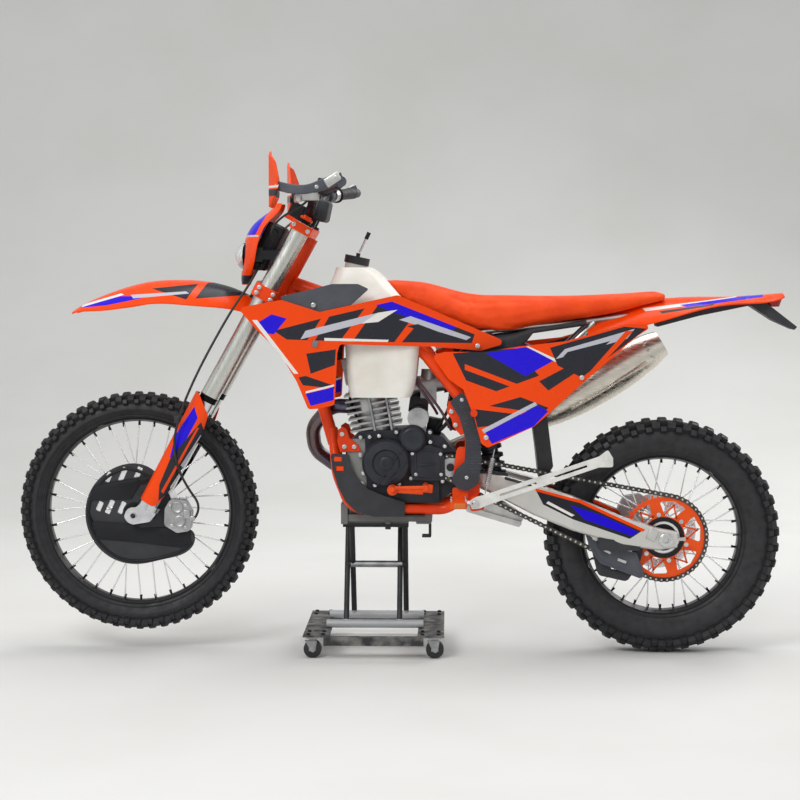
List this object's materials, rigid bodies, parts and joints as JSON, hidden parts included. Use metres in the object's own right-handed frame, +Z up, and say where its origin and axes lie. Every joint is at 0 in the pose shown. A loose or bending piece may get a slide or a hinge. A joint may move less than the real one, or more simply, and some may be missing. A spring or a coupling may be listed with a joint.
{
  "type": "enduro motorcycle",
  "caption": "Off-road motorcycle with knobbed tyres, wire wheels, long fork, orange body panels and hand guards, standing on a wheeled scissor lift dolly.",
  "frame": {"origin": "on the floor, under the middle of the bike's length and width", "axes": "+X runs to the rear of the bike, +Y to its right side, +Z up"},
  "size_m": [2.2336, 0.8552, 1.4226],
  "materials": {
    "black_plastic": "black",
    "black_rubber": "black",
    "alloy": "cast, silver",
    "chain_steel": "oiled steel",
    "black_metal": "black",
    "bare_steel": "heat tinted",
    "orange_metal": "orange",
    "orange_plastic": "orange",
    "fork_alloy": "anodised",
    "grey_plastic": "textured",
    "steel": "bare steel",
    "tyre": "knobbed rubber",
    "wheel_metal": "black rim with bright spokes",
    "tank_plastic": "milky translucent",
    "lamp_lens": "clear lens on black housing",
    "seat_vinyl": "orange vinyl",
    "stand_zinc": "zinc",
    "stand_black": "worn black",
    "red_lens": "red lens"
  },
  "bodies": {
    "chassis": {"airbox": "black_plastic", "carburettor": "alloy", "chain": "chain_steel", "chain_guide": "black_plastic", "engine_cases": "black_metal", "engine_covers": "black_metal", "engine_cylinder": "alloy", "exhaust_header": "bare_steel", "foot_levers": "orange_metal", "foot_pegs": "orange_metal", "frame_guards": "grey_plastic", "front_sprocket": "steel", "fuel_tank": "tank_plastic", "linkage": "alloy", "main_frame": "orange_metal", "mud_flap": "black_rubber", "muffler": "alloy", "plate_bracket": "black_plastic", "radiators": "alloy", "rear_axle": "steel", "rear_caliper": "alloy", "rear_fender": "orange_plastic", "seat": "seat_vinyl", "shock_absorber": "black_metal", "shrouds": "orange_plastic", "side_panels": "orange_plastic", "skid_plate": "black_plastic", "stand_casters": "stand_zinc", "stand_dolly": "stand_black", "stand_lift": "stand_zinc", "starter_motor": "alloy", "subframe": "alloy", "swingarm": "alloy", "tail_light": "red_lens", "tank_cap": "black_plastic", "tank_pads": "grey_plastic"},
    "steering": {"steering_clamps": "black_metal", "fork_tubes": "fork_alloy", "fork_legs": "alloy", "fork_guards": "orange_plastic", "front_fender": "orange_plastic", "headlight_mask": "orange_plastic", "headlight": "lamp_lens", "handlebar": "black_metal", "grips": "black_rubber", "levers": "alloy", "hand_guards": "black_metal", "hand_shields": "orange_plastic", "front_caliper": "alloy", "disc_cover": "black_plastic", "brake_hose": "black_rubber", "front_axle": "steel"},
    "front_wheel_body": {"front_tyre": "tyre", "front_wheel": "wheel_metal"},
    "rear_wheel_body": {"rear_tyre": "tyre", "rear_wheel": "wheel_metal", "rear_sprocket": "orange_metal"},
    "side_stand_body": {"side_stand": "alloy"}
  },
  "joints": [
    {"name": "steering_turn", "type": "hinge", "parent": "chassis", "child": "steering", "pos_m": [-0.3717, 0, 1.02345], "axis": [0.4848, 0, 0.8746], "range_deg": [-42, 42]},
    {"name": "front_wheel_spin", "type": "hinge", "parent": "steering", "child": "front_wheel_body", "pos_m": [-0.7705, 0, 0.403], "axis": [0, 1, 0], "continuous": true},
    {"name": "rear_wheel_spin", "type": "hinge", "parent": "chassis", "child": "rear_wheel_body", "pos_m": [0.7405, 0, 0.339], "axis": [0, 1, 0], "continuous": true},
    {"name": "side_stand_fold", "type": "hinge", "parent": "chassis", "child": "side_stand_body", "pos_m": [0.2035, -0.158, 0.445], "axis": [0, 0.9842, -0.1771], "range_deg": [0, 118]}
  ]
}
